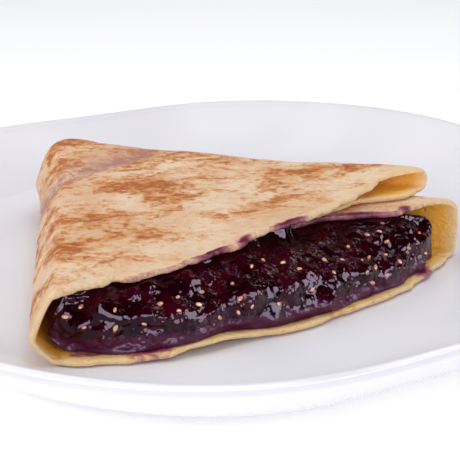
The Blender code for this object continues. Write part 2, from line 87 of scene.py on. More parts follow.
class Graph:
    """Adds nodes to one tree: each by its type, its settings, and the values or links of its sockets."""

    def __init__(self, tree):
        self.tree = tree

    def node(self, kind, settings=None, values=None):
        made = self.tree.nodes.new(kind)
        for name, value in (settings or {}).items():
            setattr(made, name, value)
        self.fill(made, values or {})
        return Made(self, made)

    def fill(self, made, values):
        """Sets or links the sockets of a node."""
        for name, value in values.items():
            socket = find_socket(made.inputs, name)
            if isinstance(value, Sock):
                self.tree.links.new(value.socket, socket)
            else:
                socket.default_value = value

    def maths(self, operation, first, second=0.0):
        values = {"Value": first, "Value_001": second}
        return self.node("ShaderNodeMath", {"operation": operation}, values)["Value"]

    def scale(self, vector, times):
        """Vector made longer or shorter."""
        values = {"Vector": vector, "Scale": times}
        return self.node("ShaderNodeVectorMath", {"operation": "SCALE"}, values)["Vector"]

    def mix(self, share, first, second):
        values = {"Factor_Float": share, "A_Color": first, "B_Color": second}
        return self.node("ShaderNodeMix", {"data_type": "RGBA"}, values)["Result_Color"]

    def step(self, value, low, high):
        """Soft step from 0 to 1 between two values."""
        values = {"Value": value, "From Min": low, "From Max": high}
        return self.node("ShaderNodeMapRange", {"interpolation_type": "SMOOTHSTEP"}, values)["Result"]

    def noise(self, place, size, detail=2.0, rough=0.5, swirl=0.0):
        """Noise whose features are of one size in the unit of place."""
        values = {"Vector": place, "Scale": 1 / size, "Detail": detail, "Roughness": rough,
                  "Distortion": swirl}
        return self.node("ShaderNodeTexNoise", {}, values)["Fac"]


class Made:
    """A node that has been added, whose outputs are read by name."""

    def __init__(self, graph, made):
        self.graph = graph
        self.made = made

    def __getitem__(self, name):
        return Sock(self.graph, find_socket(self.made.outputs, name))


class Sock:
    """An output that can be reckoned with in plain expressions."""

    def __init__(self, graph, socket):
        self.graph = graph
        self.socket = socket

    def __add__(self, other):
        return self.graph.maths("ADD", self, other)

    def __radd__(self, other):
        return self.graph.maths("ADD", other, self)

    def __sub__(self, other):
        return self.graph.maths("SUBTRACT", self, other)

    def __rsub__(self, other):
        return self.graph.maths("SUBTRACT", other, self)

    def __mul__(self, other):
        return self.graph.maths("MULTIPLY", self, other)

    def __rmul__(self, other):
        return self.graph.maths("MULTIPLY", other, self)


def find_socket(sockets, name):
    """Socket with this identifier, or else this name."""
    for socket in sockets:
        if socket.identifier == name:
            return socket
    return sockets[name]


def tint(red, green, blue):
    """Colour as seen on a screen, from 0 to 255, as the shader's linear values."""
    linear = []
    for value in (red, green, blue):
        value /= 255
        linear.append(value / 12.92 if value < 0.04045 else ((value + 0.055) / 1.055) ** 2.4)
    return (*linear, 1.0)


def new_finish(name):
    """Material with its graph, its shader and its place on the object in millimetres."""
    material = bpy.data.materials.new(name)
    material.use_nodes = True
    graph = Graph(material.node_tree)
    shader = material.node_tree.nodes["Principled BSDF"]
    place = graph.scale(graph.node("ShaderNodeTexCoord")["Object"], 1 / MM)
    return material, graph, shader, place


def bump(graph, relief, depth):
    """Fine relief in millimetres for a shader's normal."""
    values = {"Height": relief, "Strength": 1.0, "Distance": depth * MM}
    return graph.node("ShaderNodeBump", {}, values)["Normal"]


def through_nodes(piece, title, sizes, material, build):
    """Runs a piece through geometry nodes with named sizes, and keeps the result as its plain mesh."""
    tree = bpy.data.node_groups.new(title, "GeometryNodeTree")
    for way in ("INPUT", "OUTPUT"):
        tree.interface.new_socket("Geometry", in_out=way, socket_type="NodeSocketGeometry")
    keys = {}
    for name, value in sizes.items():
        kind = "NodeSocketInt" if isinstance(value, int) else "NodeSocketFloat"
        keys[name] = tree.interface.new_socket(name, in_out="INPUT", socket_type=kind).identifier
    graph = Graph(tree)
    shape = build(graph, graph.node("NodeGroupInput"))
    whole = graph.node("GeometryNodeRealizeInstances", {}, {"Geometry": shape})["Geometry"]
    values = {"Geometry": whole, "Material": material}
    finished = graph.node("GeometryNodeSetMaterial", {}, values)["Geometry"]
    graph.node("NodeGroupOutput", {}, {"Geometry": finished})
    modifier = piece.modifiers.new(title, "NODES")
    modifier.node_group = tree
    for name, value in sizes.items():
        modifier[keys[name]] = value
    looked = bpy.context.evaluated_depsgraph_get()
    made = bpy.data.meshes.new_from_object(piece.evaluated_get(looked), preserve_all_data_layers=True,
                                           depsgraph=looked)
    piece.modifiers.clear()
    piece.data = made
    made.name = piece.name


def grid_faces(rows, columns, first):
    """Quads of a grid whose points were added row by row from index first."""
    corner = first + (np.arange(rows - 1)[:, None] * columns + np.arange(columns - 1)[None, :])
    return np.stack([corner, corner + 1, corner + columns + 1, corner + columns], -1).reshape(-1, 4)


def new_piece(name, grids, marks, sharp):
    """Closed mesh object from grids of points in millimetres, whose marks are kept as attributes."""
    faces = []
    count = 0
    for grid in grids:
        faces.append(grid_faces(grid.shape[0], grid.shape[1], count))
        count += grid.shape[0] * grid.shape[1]
    points = np.concatenate([grid.reshape(-1, 3) for grid in grids]) * MM
    data = bpy.data.meshes.new(name)
    data.from_pydata(points, [], np.concatenate(faces))
    for title, values in marks.items():
        layer = data.attributes.new(title, "FLOAT", "POINT")
        joined = np.concatenate([value.ravel() for value in values])
        layer.data.foreach_set("value", joined.astype(np.float32))
    mesh = bmesh.new()
    mesh.from_mesh(data)
    bmesh.ops.remove_doubles(mesh, verts=mesh.verts, dist=SAME_POINT)
    bmesh.ops.dissolve_degenerate(mesh, edges=mesh.edges, dist=NO_LENGTH)
    bmesh.ops.recalc_face_normals(mesh, faces=mesh.faces)
    mesh.to_mesh(data)
    mesh.free()
    data.shade_smooth()
    data.set_sharp_from_angle(angle=math.radians(sharp))
    piece = bpy.data.objects.new(name, data)
    bpy.context.scene.collection.objects.link(piece)
    return piece


def plate_reach(angle):
    """Distance of the plate's rim from its middle."""
    corners = PLATE_CORNERS * np.cos(4 * (angle - PLATE_TURN))
    flats = PLATE_FLATS * np.cos(8 * (angle - PLATE_TURN))
    return PLATE_RADIUS * (1 - corners - flats)


def plate_rise(share):
    """Height of the plate's upper face, at a share of the rim's distance."""
    climb = np.clip((share - WELL_EDGE) / (1 - WELL_EDGE), 0, 1)
    return WELL_TOP + (PLATE_HEIGHT - WELL_TOP) * climb**WELL_RISE_POWER


def plate_top(x, y):
    return plate_rise(np.hypot(x, y) / plate_reach(np.arctan2(y, x)))


def plate_section():
    """Half section of a plate of unit reach, from the middle of its well over the rim and back below."""
    section = [(share, WELL_TOP) for share in WELL_RINGS]
    section += [(share, float(plate_rise(share))) for share in np.linspace(WELL_EDGE, RIM_INNER, RIM_RINGS)]
    width, thickness = RIM_ROUND
    for step in range(1, RIM_ROUND_STEPS + 1):
        turn = math.pi * step / RIM_ROUND_STEPS
        out = 1 - width + width * math.sin(turn)
        section.append((out, PLATE_HEIGHT - thickness + thickness * math.cos(turn)))
    for share in np.linspace(*BACK_SPAN, BACK_RINGS):
        climb = (share - BACK_FOOT) / (1 - BACK_FOOT)
        section.append((share, BACK_LOW + BACK_CLIMB * climb**BACK_POWER))
    section += FOOT_RING
    section += [(share, WELL_UNDERSIDE) for share in UNDERSIDE_RINGS]
    return section


def plate_shape(graph, sizes):
    """Spreads a round plate of unit reach to its real outline."""
    spot = graph.node("GeometryNodeInputPosition")["Position"]
    axes = graph.node("ShaderNodeSeparateXYZ", {}, {"Vector": spot})
    angle = graph.maths("ARCTAN2", axes["Y"], axes["X"]) - sizes["Turn"]
    corners = graph.maths("COSINE", angle * 4.0) * sizes["Corners"]
    flats = graph.maths("COSINE", angle * 8.0) * sizes["Flats"]
    reach = (1.0 - corners - flats) * sizes["Radius"]
    values = {"X": axes["X"] * reach, "Y": axes["Y"] * reach, "Z": axes["Z"]}
    there = graph.node("ShaderNodeCombineXYZ", {}, values)["Vector"]
    values = {"Geometry": sizes["Geometry"], "Position": there}
    return graph.node("GeometryNodeSetPosition", {}, values)["Geometry"]


GLAZE = tint(239, 238, 243)
GLAZE_CLOUD = tint(235, 233, 240)
BARE_CLAY = tint(226, 221, 210)


def porcelain():
    material, graph, shader, place = new_finish("white porcelain")
    cloud = graph.noise(place, CLOUD_SIZE, 2.0)
    ripple = graph.noise(place, RIPPLE_SIZE, 1.0)
    level = graph.node("ShaderNodeSeparateXYZ", {}, {"Vector": place})["Z"]
    bare = 1.0 - graph.step(level, *BARE_LEVEL)
    glaze = graph.mix(graph.step(cloud, 0.35, 0.7), GLAZE, GLAZE_CLOUD)
    waves = ripple + graph.noise(place, WAVE_SIZE, 1.0) * 3.0
    graph.fill(shader, {"Base Color": graph.mix(bare, glaze, BARE_CLAY),
                        "Roughness": bare * 0.4 + ripple * 0.06 + 0.2,
                        "IOR": 1.5,
                        "Specular IOR Level": 0.3,
                        "Normal": bump(graph, waves, GLAZE_RELIEF)})
    return material


angles = np.linspace(0, 2 * math.pi, PLATE_SIDES + 1)
angles[-1] = 0.0
section = plate_section()
lathe = np.array([[(math.cos(turn) * share / MM, math.sin(turn) * share / MM, z) for share, z in section]
                  for turn in angles])
plate = new_piece("plate_porcelain", [lathe], {}, sharp=70)
plate_sizes = {"Radius": PLATE_RADIUS * MM, "Corners": PLATE_CORNERS, "Flats": PLATE_FLATS,
               "Turn": PLATE_TURN}
through_nodes(plate, "plate outline", plate_sizes, porcelain(), plate_shape)
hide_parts("plate")
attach(plate, "root")

# Crepe. A thin pancake fried in a pan, folded in two round the filling and then over itself to a wedge.
# The outside is browned in freckles and patches, the inside is golden with a painted glow of light in the
# folds, and the lips are pale and soft.
# Juice from the filling has soaked into the lips here and there.

SHEET = 1.5
GAP = 0.3
# Plan of the wedge: its zero point on the plate, and the headings in degrees and reaches of its folded edges
TIP = (-60.9, 38.0)
LEFT = -83.3
RIGHT_LOW = -19.2
RIGHT_UP = -19.0
CORNER_START = 18.0
CORNER_RUN = 15.0
FOLD_HEADING = -41.0
FOLD_REACH = 99.5
FILLING_CORNER = (22.0, -19.0)
LEFT_FOLD = (25.0, 117.0)
# Heights and radii of the folds: a pair runs from a fold's start to its front end, or from left to right
LEFT_FOLD_HEIGHT = (9.5, 5.5)
LEFT_FOLD_RADIUS = (9.0, 6.0)
BOTTOM_FOLD_RADIUS = (6.0, 3.5)
UPPER_FOLD_RADIUS = 3.3
LOWER_FOLD_RADIUS = 7.0
LEAST_RADIUS = 1.0
LOW_FOLD_SHARE = 0.48
# How round a fold is, as the power of its curve: a circle, a creased fold and a full, square one
ROUND = 2.0
CREASED = 1.2
SQUARE = 3.0
# The top layer: its slope, the shallow crease across its corner, its ripples, and the pocket under it
TOP_AT_TIP = 21.2
TOP_SLOPE = (0.029, 0.048)
CREASE_HEADING = -51.0
CREASE_REACH = 34.0
CREASE_DEPTH = 1.5
CREASE_WIDTH = 4.5
CREASE_END = (55.0, 30.0)
CREASE_RIM = 5.0
RIPPLE = 0.35
RIPPLE_ACROSS = (7.5, 17.0)
RIPPLE_ALONG = (9.5, 0.6)
RIPPLE_RUN = (40.0, 70.0)
POCKET = (0.8, 3.1)
POCKET_SIDE = 60.0
POCKET_RUN = (35.0, 115.0)
SLIT_RUN = 2.5
FLARE = 1.7
FLARE_SPAN = (-33.0, -21.0)
FLARE_RUN = (80.0, 115.0)
# Where the soft sheet leaves the straight: a lobe at its corner, a bowed back, a pinched side, a lifted lip
LOBE = (4.5, 6.0)
LOBE_PLACE = (8.0, -6.0)
LOBE_WIDTH = 10.0
LOBE_RISE = 0.06
BACK_BOW = 1.6
BACK_LENGTH = 112.0
BACK_SLANT = 0.34
BACK_FADE = 25.0
PINCH = 0.9
PINCH_PLACE = -40.0
PINCH_WIDTH = 6.0
PINCH_FADE = 12.0
LIP_LIFT = 1.6
LIFT_HEADING = -63.0
LIFT_WIDTH = 5.0
LIFT_RUN = (100.0, 120.0)
LIFT_LEVEL = 9.0
# Reach of each lip at even steps of heading, with the headings of its first and its last one
BOTTOM_LIP = (117.0, 119.1, 121.2, 119.8, 122.7, 123.6, 126.2, 127.2, 129.0)
TOP_LIP = (117.0, 113.0, 110.4, 109.7, 109.4, 107.9, 106.2, 105.0, 104.1, 104.3, 105.0, 105.7, 106.6, 107.6,
           108.8, 110.6, 119.5)
UNDER_LIP = (FOLD_REACH, 103.0, 110.5, 117.3, 120.2, 129.0)
OVER_LIP = (FOLD_REACH, 103.5, 105.3, 108.0, 115.5, 119.5)
LIPS = {"bottom": (BOTTOM_LIP, LEFT, RIGHT_LOW), "top": (TOP_LIP, LEFT, RIGHT_UP),
        "under": (UNDER_LIP, FOLD_HEADING, RIGHT_LOW), "over": (OVER_LIP, FOLD_HEADING, RIGHT_UP)}
LIP_ROUND = 0.75
LIP_STEPS = 8
LIP_END = 0.06
# Depth, pace and start of the wavers that the lips share, and where the slow one starts on each lip
SLOW_WAVER = (0.28, 1.31)
FINE_WAVERS = ((0.16, 3.07, 2.0), (0.09, 6.9, 0.5))
WAVER_START = {"bottom": 6.0, "top": 3.0, "under": 5.0, "over": 4.0}
# Heading, depth and half width in degrees of the small nicks in each lip; a tongue has a negative depth
NICKS = {"top": ((-73.3, 1.5, 1.0), (-72.0, -0.5, 0.9), (-54.6, -1.3, 1.6), (-51.8, 0.5, 1.2)),
         "bottom": ((-66.0, 0.8, 2.0), (-47.0, 0.7, 2.4)), "under": (), "over": ((-26.0, -0.8, 1.5),)}
# Layer, heading, distance behind the lip, half width in degrees and half depth of each stain of juice
STAINS = (("under", -38.0, 0.2, 3.6, 2.0), ("under", -32.5, 0.2, 3.0, 1.6), ("under", -26.6, 0.2, 1.2, 1.2),
          ("under", -33.0, -0.4, 9.0, 0.6), ("top", -54.0, 0.2, 1.7, 1.5), ("top", -59.5, 0.0, 3.2, 0.5),
          ("top", -45.5, 0.0, 3.4, 1.0), ("top", -63.0, -0.5, 15.0, 0.55), ("bottom", -70.2, 2.0, 2.6, 2.2),
          ("bottom", -29.5, 1.0, 2.0, 1.6), ("bottom", -50.0, 3.5, 6.0, 1.2))
# Mauve band along the crease and painted shade along the back edge: half widths of the two bands, and their
# starts and ends in x
CREASE_BAND = 5.0
CREASE_BAND_END = (44.0, 32.0)
EDGE_SHADE = 3.0
EDGE_SHADE_START = (25.0, 35.0)
EDGE_SHADE_END = (75.0, 55.0)
# The soaked line on the ledge at the jam's foot: its headings, their fade, its way to the lip, its strength
SOAKED_SPAN = (-80.0, -27.0)
SOAKED_FADE = 2.0
SOAKED_BACK = (0.7, 2.1)
SOAKED = 0.62
# Columns of each layer and how much they draw together at its two edges, and rows up to and at the lip
LANES = {"bottom": (64, 0.75), "under": (50, 0.7), "over": (56, 0.7), "top": (150, 0.75)}
SHEET_ROWS = (110, 0.5)
SHEET_ROWS_END = 0.96
LIP_ROWS = (0.9565, 1, 12)
FOLD_STEPS = 9
SHEET_MARKS = ("to_lip", "side", "stain", "crease_band_and_edge_shade", "free")
# How far the surface is free to be uneven: near the lips, and on the bottom layer above its foot
FREE_LIP = (5.0, 1.0)
FREE_SHARE = 0.5
FREE_LEVEL = (1.0, 4.0)
SHEET_WAVE = 0.9
SHEET_BLISTER = 0.35
# The browning runs in streaks, longer from left to right than from front to back
STREAK = (0.66, 1.1, 1.0)
BATTER = tint(240, 213, 182)
BATTER_SHADE = tint(228, 188, 150)
MOTTLE = tint(218, 156, 100)
GOLDEN = tint(214, 140, 78)
BROWNED = tint(178, 94, 46)
# Mauve of the crease band and of the painted shade along the back edge
MAUVE_BAND_AND_EDGE_SHADE = tint(186, 134, 122)
PORE = tint(170, 112, 74)
LIP_CUT = tint(238, 206, 162)
INNER_LIP = tint(246, 208, 150)
# Yolk yellow, deepened as a painted glow of light bounced and shone through the folds
YOLK_AND_FOLD_GLOW = tint(250, 184, 52)
YOLK_CREASE = tint(216, 136, 40)
JUICE_EDGE = tint(172, 64, 110)
JUICE = tint(110, 16, 58)


def unit(degrees):
    """Direction of a heading in plan."""
    return np.array([math.cos(math.radians(degrees)), math.sin(math.radians(degrees))])


def heading_of(p):
    """Heading of points in plan, in degrees."""
    return np.degrees(np.arctan2(p[..., 1], p[..., 0]))


def reach_of(p):
    """Length of vectors in plan."""
    return np.hypot(p[..., 0], p[..., 1])


def ease(x, start, end):
    """Soft step from 0 at the start to 1 at the end."""
    x = np.clip((x - start) / (end - start), 0, 1)
    return x * x * (3 - 2 * x)


def hump(x, middle, width):
    """Soft hump, 1 high at its middle."""
    return np.exp(-(((x - middle) / width) ** 2))


def along(values, share):
    """Smooth curve through values set at even steps, read at a share of its length."""
    values = np.asarray(values, float)
    place = np.clip(share, 0, 1) * (len(values) - 1)
    i = np.minimum(place.astype(int), len(values) - 2)
    t = place - i
    slope = np.gradient(values)
    h00 = 2 * t**3 - 3 * t**2 + 1
    h10 = t**3 - 2 * t**2 + t
    h01 = 3 * t**2 - 2 * t**3
    h11 = t**3 - t**2
    return h00 * values[i] + h10 * slope[i] + h01 * values[i + 1] + h11 * slope[i + 1]


def down_left_fold(p, values):
    """A size of the left fold, between its values at the fold's start and at its front end."""
    start, end = LEFT_FOLD
    share = np.clip((p @ unit(LEFT) - start) / (end - start), 0, 1)
    return values[0] + (values[1] - values[0]) * share


LEFT_IN = unit(LEFT + 90)


class Wedge:
    """Outline of one face of the sheet or the filling: set in at its sides, and cut in from above and below.

    Sink lowers its corner, and turn swings its right edge inwards, in degrees.
    """

    def __init__(self, inset, cut, corner, sink=0.0, turn=0.0):
        self.inset = inset
        self.cut = cut
        self.sink = sink
        self.corner = np.array(corner, float)
        self.ends = {"low": self.end(RIGHT_LOW - turn, BOTTOM_LIP[-1]),
                     "up": self.end(RIGHT_UP - turn, TOP_LIP[-1])}
        self.right = (self.heading("low") + self.heading("up")) / 2
        inward = unit(self.right - 90)
        reach = self.corner @ LEFT_IN - inset
        self.radius = reach / (1 - inward @ LEFT_IN)
        self.centre = self.corner + inward * self.radius

    def end(self, heading, reach):
        return unit(heading) * reach - unit(heading + 90) * self.inset

    def heading(self, roll):
        way = self.ends[roll] - self.corner
        return math.degrees(math.atan2(way[1], way[0]))

    def start(self, lane):
        """Points of the rounded corner, from the left edge to the right one."""
        first = LEFT + 270
        turn = first - (self.right + 90)
        angle = np.radians(first - lane * turn)
        return self.centre + self.radius * np.stack([np.cos(angle), np.sin(angle)], -1)

    def distances(self, p, roll):
        """Distance to the left edge, to the right edge and to the whole outline."""
        way = unit(self.heading(roll))
        left = p @ LEFT_IN - self.inset
        right = (p - self.corner) @ np.array([way[1], -way[0]])
        from_centre = p - self.centre
        in_corner = (from_centre @ unit(LEFT) < 0) & (from_centre @ way < 0)
        nearest = np.where(in_corner, self.radius - reach_of(from_centre), np.minimum(left, right))
        return np.maximum(left, 0), np.maximum(right, 0), np.maximum(nearest, 0)

    def middle(self, p, roll):
        """Height of the fold that bounds this surface, and how far over to the right side a point is."""
        left, right, _ = self.distances(p, roll)
        over = left / (left + right + 1e-9)
        left_fold = down_left_fold(p, LEFT_FOLD_HEIGHT)
        corner = split_level(self.corner[None, :])[0] - self.sink
        if roll == "low":
            fold = split_level(p) * LOW_FOLD_SHARE
        else:
            fold = (top_level(p) + split_level(p) + GAP / 2) / 2
        run = ease((p - self.corner) @ unit(self.heading(roll)), 0, CORNER_RUN)
        right_fold = corner + (fold - corner) * run
        return left_fold * (1 - over) + right_fold * over, over


OUTER = Wedge(0.0, 0.0, unit((RIGHT_LOW + RIGHT_UP) / 2) * CORNER_START)
INNER = Wedge(SHEET, SHEET, FILLING_CORNER)
FOLD_END = unit(FOLD_HEADING) * FOLD_REACH
FOLD_WAY = (FOLD_END - OUTER.corner) / np.linalg.norm(FOLD_END - OUTER.corner)
FOLD_SIDE = np.array([-FOLD_WAY[1], FOLD_WAY[0]])


def flare(p):
    """Rise of the upper roll's open end, at the front of its right fold."""
    return FLARE * ease(heading_of(p), *FLARE_SPAN) * ease(reach_of(p), *FLARE_RUN)


def from_crease(p):
    """Distance of points from the line of the shallow crease."""
    return p @ unit(CREASE_HEADING) - CREASE_REACH


def top_level(p):
    """Upper face of the top layer, away from the folds, with its soft hollows."""
    x, y = p[..., 0], p[..., 1]
    level = TOP_AT_TIP + TOP_SLOPE[0] * x + TOP_SLOPE[1] * y
    inside = OUTER.distances(p, "up")[2]
    dent = CREASE_DEPTH * hump(from_crease(p), 0, CREASE_WIDTH)
    dent *= ease(x, *CREASE_END) * ease(inside, 0, CREASE_RIM)
    ripple = RIPPLE * np.sin(x / RIPPLE_ACROSS[0] + y / RIPPLE_ACROSS[1])
    ripple *= np.sin(y / RIPPLE_ALONG[0] + RIPPLE_ALONG[1]) * ease(reach_of(p), *RIPPLE_RUN)
    return level - dent + ripple + flare(p)


def pocket(p):
    """Opening between the two upper layers, wider away from the hidden fold and towards the front."""
    beside = ease((p - OUTER.corner) @ FOLD_SIDE, 0, POCKET_SIDE)
    forward = ease(reach_of(p), *POCKET_RUN)
    return POCKET[0] + (POCKET[1] - POCKET[0]) * beside * forward + flare(p)


def split_level(p):
    """Middle of the slit between the lower roll and the upper one."""
    return top_level(p) - 2 * SHEET - pocket(p) - GAP / 2


def round_over(distance, radius, power):
    """Share of the height that a rounded fold has reached at a distance from its edge."""
    return (1 - (1 - np.clip(distance / radius, 0, 1)) ** power) ** (1 / power)


def height(p, wedge, layer):
    """Height of one face of one layer."""
    roll = "low" if layer in ("bottom", "under") else "up"
    inside = wedge.distances(p, roll)[2]
    middle, over = wedge.middle(p, roll)
    cut = wedge.cut
    power = CREASED + (ROUND - CREASED) * over
    if layer == "bottom":
        level = cut
        left, right = BOTTOM_FOLD_RADIUS
        radius = left + (right - left) * over - cut
    elif layer == "top":
        level = top_level(p) - cut
        left = down_left_fold(p, LEFT_FOLD_RADIUS)
        radius = left + (UPPER_FOLD_RADIUS - left) * over - cut
    elif layer == "under":
        level = split_level(p) - GAP / 2 - cut
        radius = LOWER_FOLD_RADIUS - cut
        power = SQUARE
    else:
        level = split_level(p) + GAP / 2 + cut
        radius = UPPER_FOLD_RADIUS - cut
        power = ROUND
    return middle + (level - middle) * round_over(inside, np.maximum(radius, LEAST_RADIUS), power)


def ragged(layer, heading, lane):
    """How far a lip stands back at a heading: slow wavers, small nicks and tongues, and none at its ends."""
    depth, pace = SLOW_WAVER
    waver = depth * np.sin(heading * pace + WAVER_START[layer])
    for depth, pace, start in FINE_WAVERS:
        waver += depth * np.sin(heading * pace + start)
    for middle, depth, width in NICKS[layer]:
        waver += depth * hump(heading, middle, width)
    return waver * ease(lane, 0, LIP_END) * ease(lane, 1, 1 - LIP_END)


def lip_point(layer, lane, back):
    """Points along a layer's front lip, or a distance behind it."""
    lip, first, last = LIPS[layer]
    angle = np.radians(first + (last - first) * lane)
    way = np.stack([np.cos(angle), np.sin(angle)], -1)
    return way * (along(lip, lane) - back)[:, None]


def spread(start, end, rows):
    """Straight lanes from the start points to the end points: rows of points."""
    rows = rows[:, None, None]
    return start[None] * (1 - rows) + end[None] * rows


def layer_points(wedge, layer, lanes, rows):
    """Points of one face of a layer, in rows from the corner to the front lip, and their way to the lip."""
    first, last = LIPS[layer][1:]
    end = lip_point(layer, lanes, ragged(layer, first + (last - first) * lanes, lanes))
    end -= unit(last + 90) * wedge.inset * (lanes**3)[:, None]
    if layer in ("bottom", "top"):
        end += LEFT_IN * wedge.inset * ((1 - lanes) ** 3)[:, None]
        start = wedge.start(lanes)
    else:
        start = np.repeat(wedge.corner[None], len(lanes), 0)
    plan = spread(start, end, rows)
    z = height(plan, wedge, layer)
    z[0] = wedge.middle(plan[0], "up")[0]
    if wedge is OUTER and layer in ("under", "over"):
        other = height(plan, wedge, "over" if layer == "under" else "under")
        opened = ease((plan - OUTER.corner) @ FOLD_SIDE, 0, SLIT_RUN)
        z = (z + other) / 2 * (1 - opened) + z * opened
    to_lip = np.linalg.norm(end[None] - plan, axis=-1)
    return np.concatenate([plan, z[..., None]], -1), to_lip


def hairpin(under, over):
    """Rounded inside of the hidden fold, between its lower and its upper face."""
    centre = (under + over) / 2
    radius = (over[:, 2] - under[:, 2]) / 2
    columns = []
    for step in range(1, FOLD_STEPS):
        angle = math.pi * step / FOLD_STEPS
        point = centre.copy()
        point[:, :2] -= FOLD_SIDE * (radius * math.sin(angle))[:, None]
        point[:, 2] -= radius * math.cos(angle)
        columns.append(point)
    return np.stack(columns, 1)


def settle(p):
    """Bends food from the flat wedge into its place: fuller corner, lifted lip, and the plate's slope."""
    x, y, z = p[..., 0], p[..., 1], p[..., 2]
    bow = BACK_BOW * np.sin(math.pi * np.clip(x / BACK_LENGTH, 0, 1))
    bow = bow * np.exp(-np.abs(x * BACK_SLANT + y) / BACK_FADE)
    lobe = np.exp(-((x - LOBE_PLACE[0]) ** 2 + (y - LOBE_PLACE[1]) ** 2) / (2 * LOBE_WIDTH**2))
    pinch = PINCH * hump(y, PINCH_PLACE, PINCH_WIDTH) * np.exp(-np.clip(x, 0, None) / PINCH_FADE)
    x = x - LOBE[0] * lobe + pinch
    y = y + LOBE[1] * lobe + bow
    z = z * (1 + LOBE_RISE * lobe)
    plan = np.stack([x, y], -1)
    lift = LIP_LIFT * hump(heading_of(plan), LIFT_HEADING, LIFT_WIDTH) * ease(reach_of(plan), *LIFT_RUN)
    z = z + lift * np.clip(1 - z / LIFT_LEVEL, 0, 1)
    x = x + TIP[0]
    y = y + TIP[1]
    return np.stack([x, y, z + plate_top(x, y) + GAP], -1)


def close_ends(count, pull):
    """Even steps from 0 to 1, drawn closer together at both ends."""
    even = np.linspace(0, 1, count)
    return even * (1 - pull) + pull * (0.5 - 0.5 * np.cos(math.pi * even))


CREPE_LANES = {layer: close_ends(count, pull) for layer, (count, pull) in LANES.items()}
CREPE_ROWS = np.concatenate([close_ends(*SHEET_ROWS)[:-1] * SHEET_ROWS_END, np.linspace(*LIP_ROWS)])


def sheet_marks(points, to_lip, layer, inner):
    """Marks of each point: its way to the lip, side, stain, mauve crease band with painted edge shade, and
    how free it is to be uneven.
    """
    plan = points[..., :2]
    x = plan[..., 0]
    heading = heading_of(plan)
    stain = np.zeros_like(to_lip)
    for stained, middle, back, width, depth in STAINS:
        if stained == layer and (layer == "bottom" or not inner):
            stain = np.maximum(stain, hump(heading, middle, width) * hump(to_lip, back, depth))
    if layer == "bottom" and inner:
        first, last = SOAKED_SPAN
        covered = ease(heading, first, first + SOAKED_FADE) * ease(heading, last, last - SOAKED_FADE)
        stain = np.maximum(stain, ease(to_lip, *SOAKED_BACK) * covered * SOAKED)
    # A mauve band along the shallow crease, and painted shade along the back edge of the top layer
    crease_band_and_edge_shade = hump(from_crease(plan), 0, CREASE_BAND) * ease(x, *CREASE_BAND_END)
    painted_edge_shade = hump(OUTER.distances(plan, "up")[2], 0, EDGE_SHADE)
    painted_edge_shade *= ease(x, *EDGE_SHADE_START) * ease(x, *EDGE_SHADE_END)
    crease_band_and_edge_shade = np.maximum(crease_band_and_edge_shade, painted_edge_shade) * (layer == "top")
    free = ease(to_lip, *FREE_LIP) * FREE_SHARE
    if layer == "top" and not inner:
        free = np.ones_like(to_lip)
    if layer == "bottom" and not inner:
        free = ease(points[..., 2], *FREE_LEVEL)
    return np.stack([to_lip, np.full_like(to_lip, float(inner)), stain, crease_band_and_edge_shade, free], -1)


def sheet_face(wedge):
    """One face of the folded sheet as columns round the folds, with the marks of its points."""
    inner = wedge is INNER
    parts = []
    for layer in ("bottom", "under", "over", "top"):
        points, to_lip = layer_points(wedge, layer, CREPE_LANES[layer], CREPE_ROWS)
        marks = sheet_marks(points, to_lip, layer, inner)
        if layer in ("under", "top"):
            points, marks = points[:, ::-1], marks[:, ::-1]
        if layer == "over" and inner:
            bend = hairpin(parts[-1][0][:, -1], points[:, 0])
            parts.append((bend, np.repeat(marks[:, :1], FOLD_STEPS - 1, 1)))
        parts.append((points, marks))
    return [np.concatenate(part, 1) for part in zip(*parts)]


def rounded_lip(outer, outer_marks, inner, inner_marks):
    """The rounded cut edge between the last rows of the two faces."""
    fold = len(CREPE_LANES["bottom"]) + len(CREPE_LANES["under"]) - 1
    match = np.r_[0:fold + 1, [fold] * (FOLD_STEPS - 1), fold + 1:outer.shape[1]]
    out, out_marks = outer[-1, match], outer_marks[-1, match]
    outwards = out[:, :2] / np.linalg.norm(out[:, :2], axis=1)[:, None]
    there, here = settle(out), settle(inner[-1])
    middle = (there + here) / 2
    stain = SHEET_MARKS.index("stain")
    rows, marks = [], []
    for step in range(LIP_STEPS + 1):
        share = step / LIP_STEPS
        row = middle + (there - middle) * math.cos(math.pi * share)
        row[:, :2] += outwards * LIP_ROUND * math.sin(math.pi * share)
        mark = out_marks * (1 - share) + inner_marks[-1] * share
        mark[:, stain] = np.maximum(out_marks[:, stain], inner_marks[-1, :, stain])
        rows.append(row)
        marks.append(mark)
    return np.stack(rows), np.stack(marks)


def point_place(graph):
    """Place of a piece's points in millimetres."""
    return graph.scale(graph.node("GeometryNodeInputPosition")["Position"], 1 / MM)


def point_mark(graph, name):
    return graph.node("GeometryNodeInputNamedAttribute", {"data_type": "FLOAT"}, {"Name": name})["Attribute"]


def push_out(graph, sizes, rise):
    """Moves a piece's free points out along their normals."""
    move = graph.scale(graph.node("GeometryNodeInputNormal")["Normal"], rise * point_mark(graph, "free"))
    values = {"Geometry": sizes["Geometry"], "Offset": move}
    return graph.node("GeometryNodeSetPosition", {}, values)["Geometry"]


def uneven(graph, sizes):
    """Raises and sinks the free surfaces a little, in broad waves and in small blisters."""
    place = point_place(graph)
    wave = (graph.noise(place, 11.0, 1.0) - 0.5) * sizes["Wave height"]
    blister = (graph.noise(place, 3.2, 2.0, 0.6) - 0.5) * sizes["Blister height"]
    return push_out(graph, sizes, wave + blister)


def attribute(graph, name):
    return graph.node("ShaderNodeAttribute", {"attribute_name": name})["Fac"]


